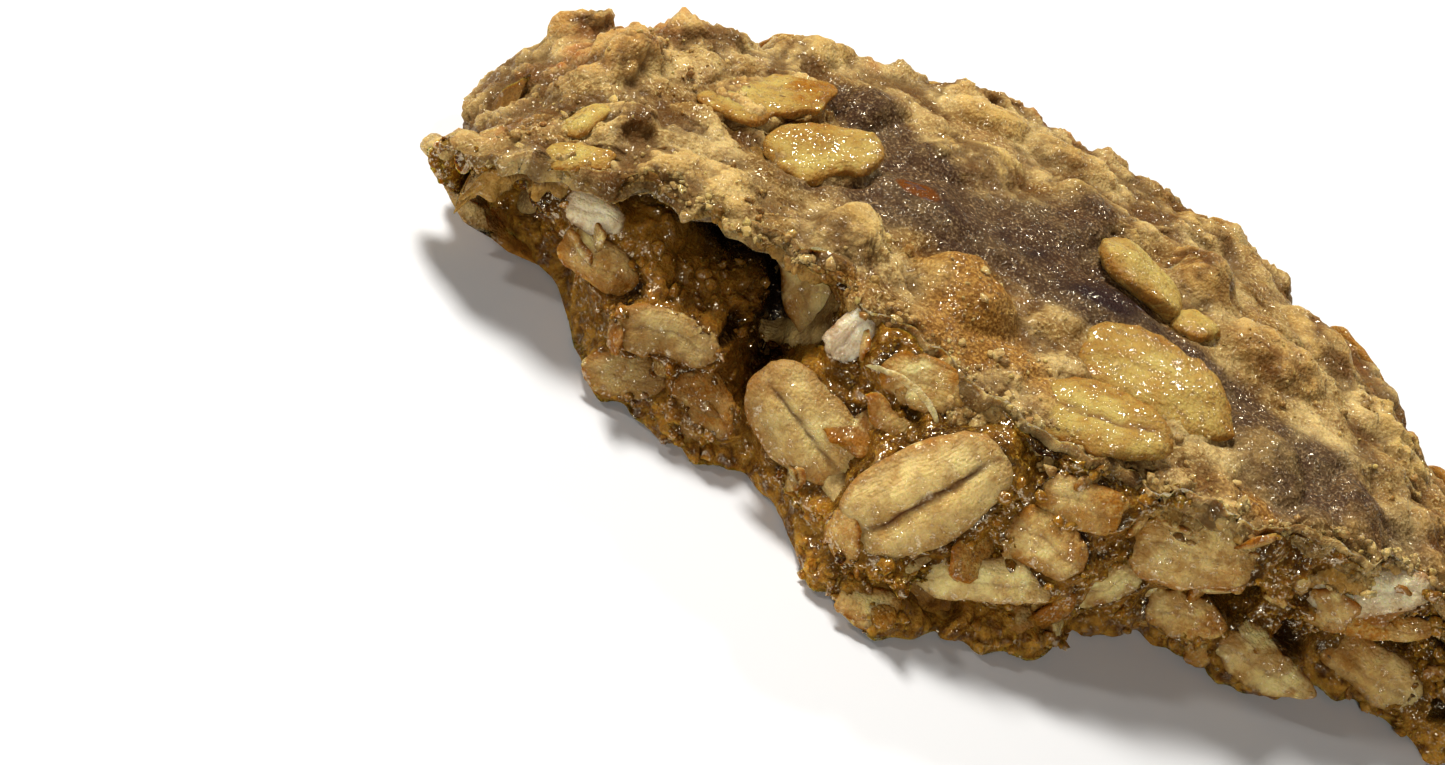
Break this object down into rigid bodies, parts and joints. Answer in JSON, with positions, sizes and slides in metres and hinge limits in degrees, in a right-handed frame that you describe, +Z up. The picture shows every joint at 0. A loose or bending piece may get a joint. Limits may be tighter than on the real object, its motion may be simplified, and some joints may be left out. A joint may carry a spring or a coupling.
{
  "type": "oatmeal raisin cookie half",
  "caption": "Broken half of a thick round oatmeal raisin cookie, lying flat, with rolled oats standing out of its domed top, round rim and ragged broken side.",
  "frame": {"origin": "middle of the whole round cookie before it broke, on the surface that it rests on", "axes": "+Z up; +X along the break towards its right end as seen from the broken side; the broken side faces -Y and the round rim +Y"},
  "size_m": [0.0942, 0.0609, 0.0186],
  "materials": {
    "crust": "golden brown baked oat dough, moist and slightly glossy in the break",
    "raisin": "dark wrinkled raisin skin"
  },
  "bodies": {
    "root": {"cookie_half": "crust", "raisin_front": "raisin", "raisin_middle": "raisin", "raisin_rim": "raisin"}
  },
  "joints": []
}
